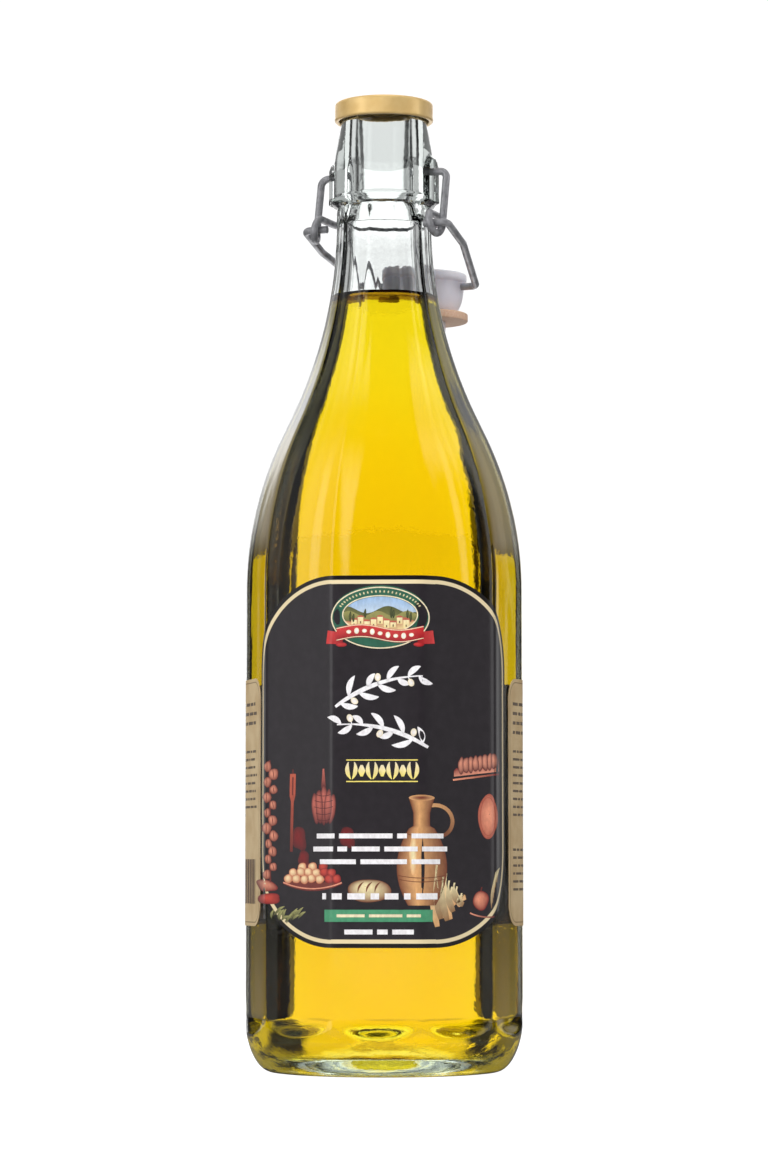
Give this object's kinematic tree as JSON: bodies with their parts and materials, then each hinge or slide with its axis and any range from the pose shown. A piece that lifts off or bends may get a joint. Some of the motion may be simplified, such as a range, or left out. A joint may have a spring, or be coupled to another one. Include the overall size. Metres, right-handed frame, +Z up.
{
  "type": "olive oil bottle",
  "caption": "Tall ten-sided clear glass bottle of olive oil with front and back labels, a metal cap and a wire swing-top stopper folded back behind the neck.",
  "frame": {"origin": "centre of the standing ring, on the surface that the bottle stands on", "axes": "+Z up along the bottle's axis; -Y is the front, the middle of the front label's panel; +X is the viewer's right"},
  "size_m": [0.0896, 0.0942, 0.311],
  "materials": {
    "glass": "clear pressed glass with a pale green tint in the thick base",
    "oil": "clear golden-yellow liquid",
    "cap_lacquer": "satin gold lacquer on thin pressed metal",
    "front_paper": "gloss-printed black paper with a cream line",
    "back_paper": "matte cream paper",
    "wire": "satin drawn steel wire",
    "stopper_plastic": "milky translucent moulded plastic",
    "gasket_rubber": "soft pinkish-tan rubber"
  },
  "bodies": {
    "bottle": {"bottle": "glass", "oil": "oil", "cap": "cap_lacquer", "front_label": "front_paper", "back_label": "back_paper"},
    "lever": {"lever": "wire"},
    "bail": {"bail": "wire"},
    "stopper": {"stopper": "stopper_plastic", "gasket": "gasket_rubber"}
  },
  "joints": [
    {"name": "lever_hinge", "type": "hinge", "parent": "bottle", "child": "lever", "pos_m": [0, 0, 0.2875], "axis": [0.9511, -0.309, 0], "range_deg": [0, 55]},
    {"name": "bail_hinge", "type": "hinge", "parent": "lever", "child": "bail", "pos_m": [-0.00241, -0.00742, 0.2695], "axis": [0.9511, -0.309, 0], "range_deg": [-4, 30]},
    {"name": "stopper_hinge", "type": "hinge", "parent": "bail", "child": "stopper", "pos_m": [0.01159, 0.03566, 0.2559], "axis": [0.9511, -0.309, 0], "range_deg": [-20, 25]}
  ]
}
